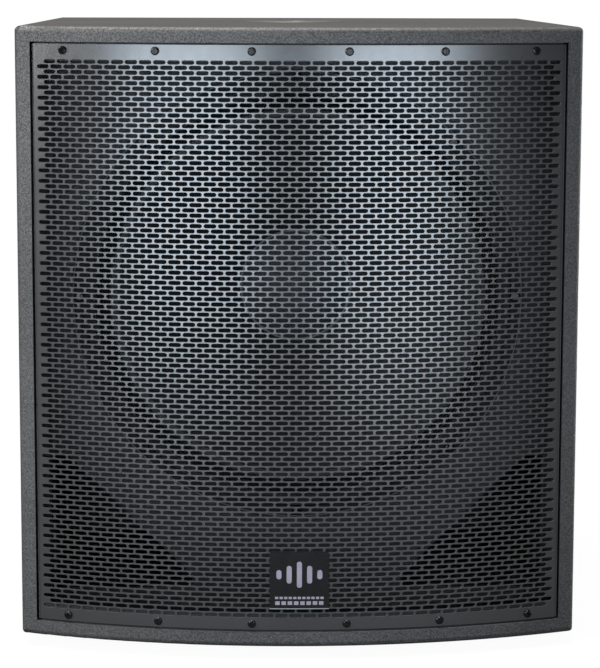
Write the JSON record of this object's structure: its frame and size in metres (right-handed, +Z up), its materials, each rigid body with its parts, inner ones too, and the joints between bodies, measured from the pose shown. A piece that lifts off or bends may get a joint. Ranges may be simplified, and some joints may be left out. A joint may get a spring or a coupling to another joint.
{
  "type": "subwoofer cabinet",
  "caption": "Floor-standing subwoofer cabinet with a bowed perforated steel grille, a large cone driver, corner vents, a pole socket on top and recessed side handles.",
  "frame": {"origin": "on the floor under the middle of the whole object, at the underside of the feet", "axes": "+Z up, -Y out of the grille, +X to the right seen from the front"},
  "size_m": [0.5606, 0.625, 0.6166],
  "materials": {
    "cabinet_paint": "textured dark grey roller paint on plywood",
    "baffle_paint": "textured black paint on plywood",
    "bare_ply": "bare birch plywood",
    "grille_steel": "semi-gloss black powder coat on steel",
    "black_screws": "black oxide steel screws",
    "badge_black": "gloss black face on a thin metal plate with a bare lower edge",
    "badge_silver": "raised satin silver-grey paint",
    "zinc_steel": "zinc plated steel",
    "motor_steel": "machined steel, clear passivated",
    "basket_aluminium": "black powder coat on cast aluminium",
    "gasket_rubber": "black foam rubber",
    "cone_paper": "pressed dark paper pulp",
    "former_film": "amber glass-fibre tube",
    "coil_copper": "enamelled copper winding",
    "surround_cloth": "black coated pleated cloth",
    "spider_cloth": "resin stiffened woven cloth",
    "ferrite": "dark grey ferrite",
    "phenolic": "brown laminate board",
    "braid": "braided copper",
    "wire_red_pvc": "red insulation over copper",
    "wire_black_pvc": "black insulation over copper",
    "black_nylon": "black glass filled nylon",
    "nut_nickel": "nickel plate",
    "plate_paint": "fine textured black powder coat on steel",
    "foot_rubber": "black moulded rubber",
    "lining_wool": "off-white damping felt"
  },
  "bodies": {
    "cabinet": {"top_panel": "cabinet_paint", "bottom_panel": "cabinet_paint", "side_panel_left": "cabinet_paint", "side_panel_right": "cabinet_paint", "back_panel": "cabinet_paint", "baffle": "baffle_paint", "duct_board_left": "baffle_paint", "duct_board_right": "baffle_paint", "window_brace": "bare_ply", "glue_blocks": "bare_ply", "grille_strip_top": "baffle_paint", "grille_strip_bottom": "baffle_paint", "grille": "grille_steel", "grille_screws": "black_screws", "badge": "badge_black", "badge_emblem": "badge_silver", "badge_clips": "zinc_steel", "basket": "basket_aluminium", "front_gasket": "gasket_rubber", "driver_screws": "black_screws", "tee_nuts": "zinc_steel", "surround": "surround_cloth", "spider": "spider_cloth", "motor_top_plate": "motor_steel", "motor_magnet": "ferrite", "motor_back_plate": "motor_steel", "motor_bolts": "zinc_steel", "terminal_strip": "phenolic", "terminal_tabs": "zinc_steel", "tinsel_leads": "braid", "wire_red": "wire_red_pvc", "wire_black": "wire_black_pvc", "wire_clips": "black_nylon", "input_plate": "plate_paint", "input_gasket": "gasket_rubber", "input_screws": "black_screws", "twist_socket_left": "black_nylon", "twist_socket_right": "black_nylon", "twist_screws": "zinc_steel", "jack_socket_left": "black_nylon", "jack_socket_right": "black_nylon", "jack_nuts": "nut_nickel", "pole_cup": "plate_paint", "pole_cup_screws": "black_screws", "handle_dish_left": "black_nylon", "handle_dish_right": "black_nylon", "handle_bar_left": "plate_paint", "handle_bar_right": "plate_paint", "handle_screws": "black_screws", "feet": "foot_rubber", "foot_screws": "zinc_steel", "lining_back": "lining_wool", "lining_left": "lining_wool", "lining_right": "lining_wool", "lining_top": "lining_wool"},
    "cone_assembly": {"cone": "cone_paper", "dust_cap": "cone_paper", "coil_former": "former_film", "voice_coil": "coil_copper"}
  },
  "joints": [
    {"name": "cone_travel", "type": "slide", "parent": "cabinet", "child": "cone_assembly", "axis": [0, -1, 0], "range_m": [-0.01, 0.01], "stiffness_N_per_m": 9000, "deforming": ["surround", "spider", "tinsel_leads"]}
  ]
}
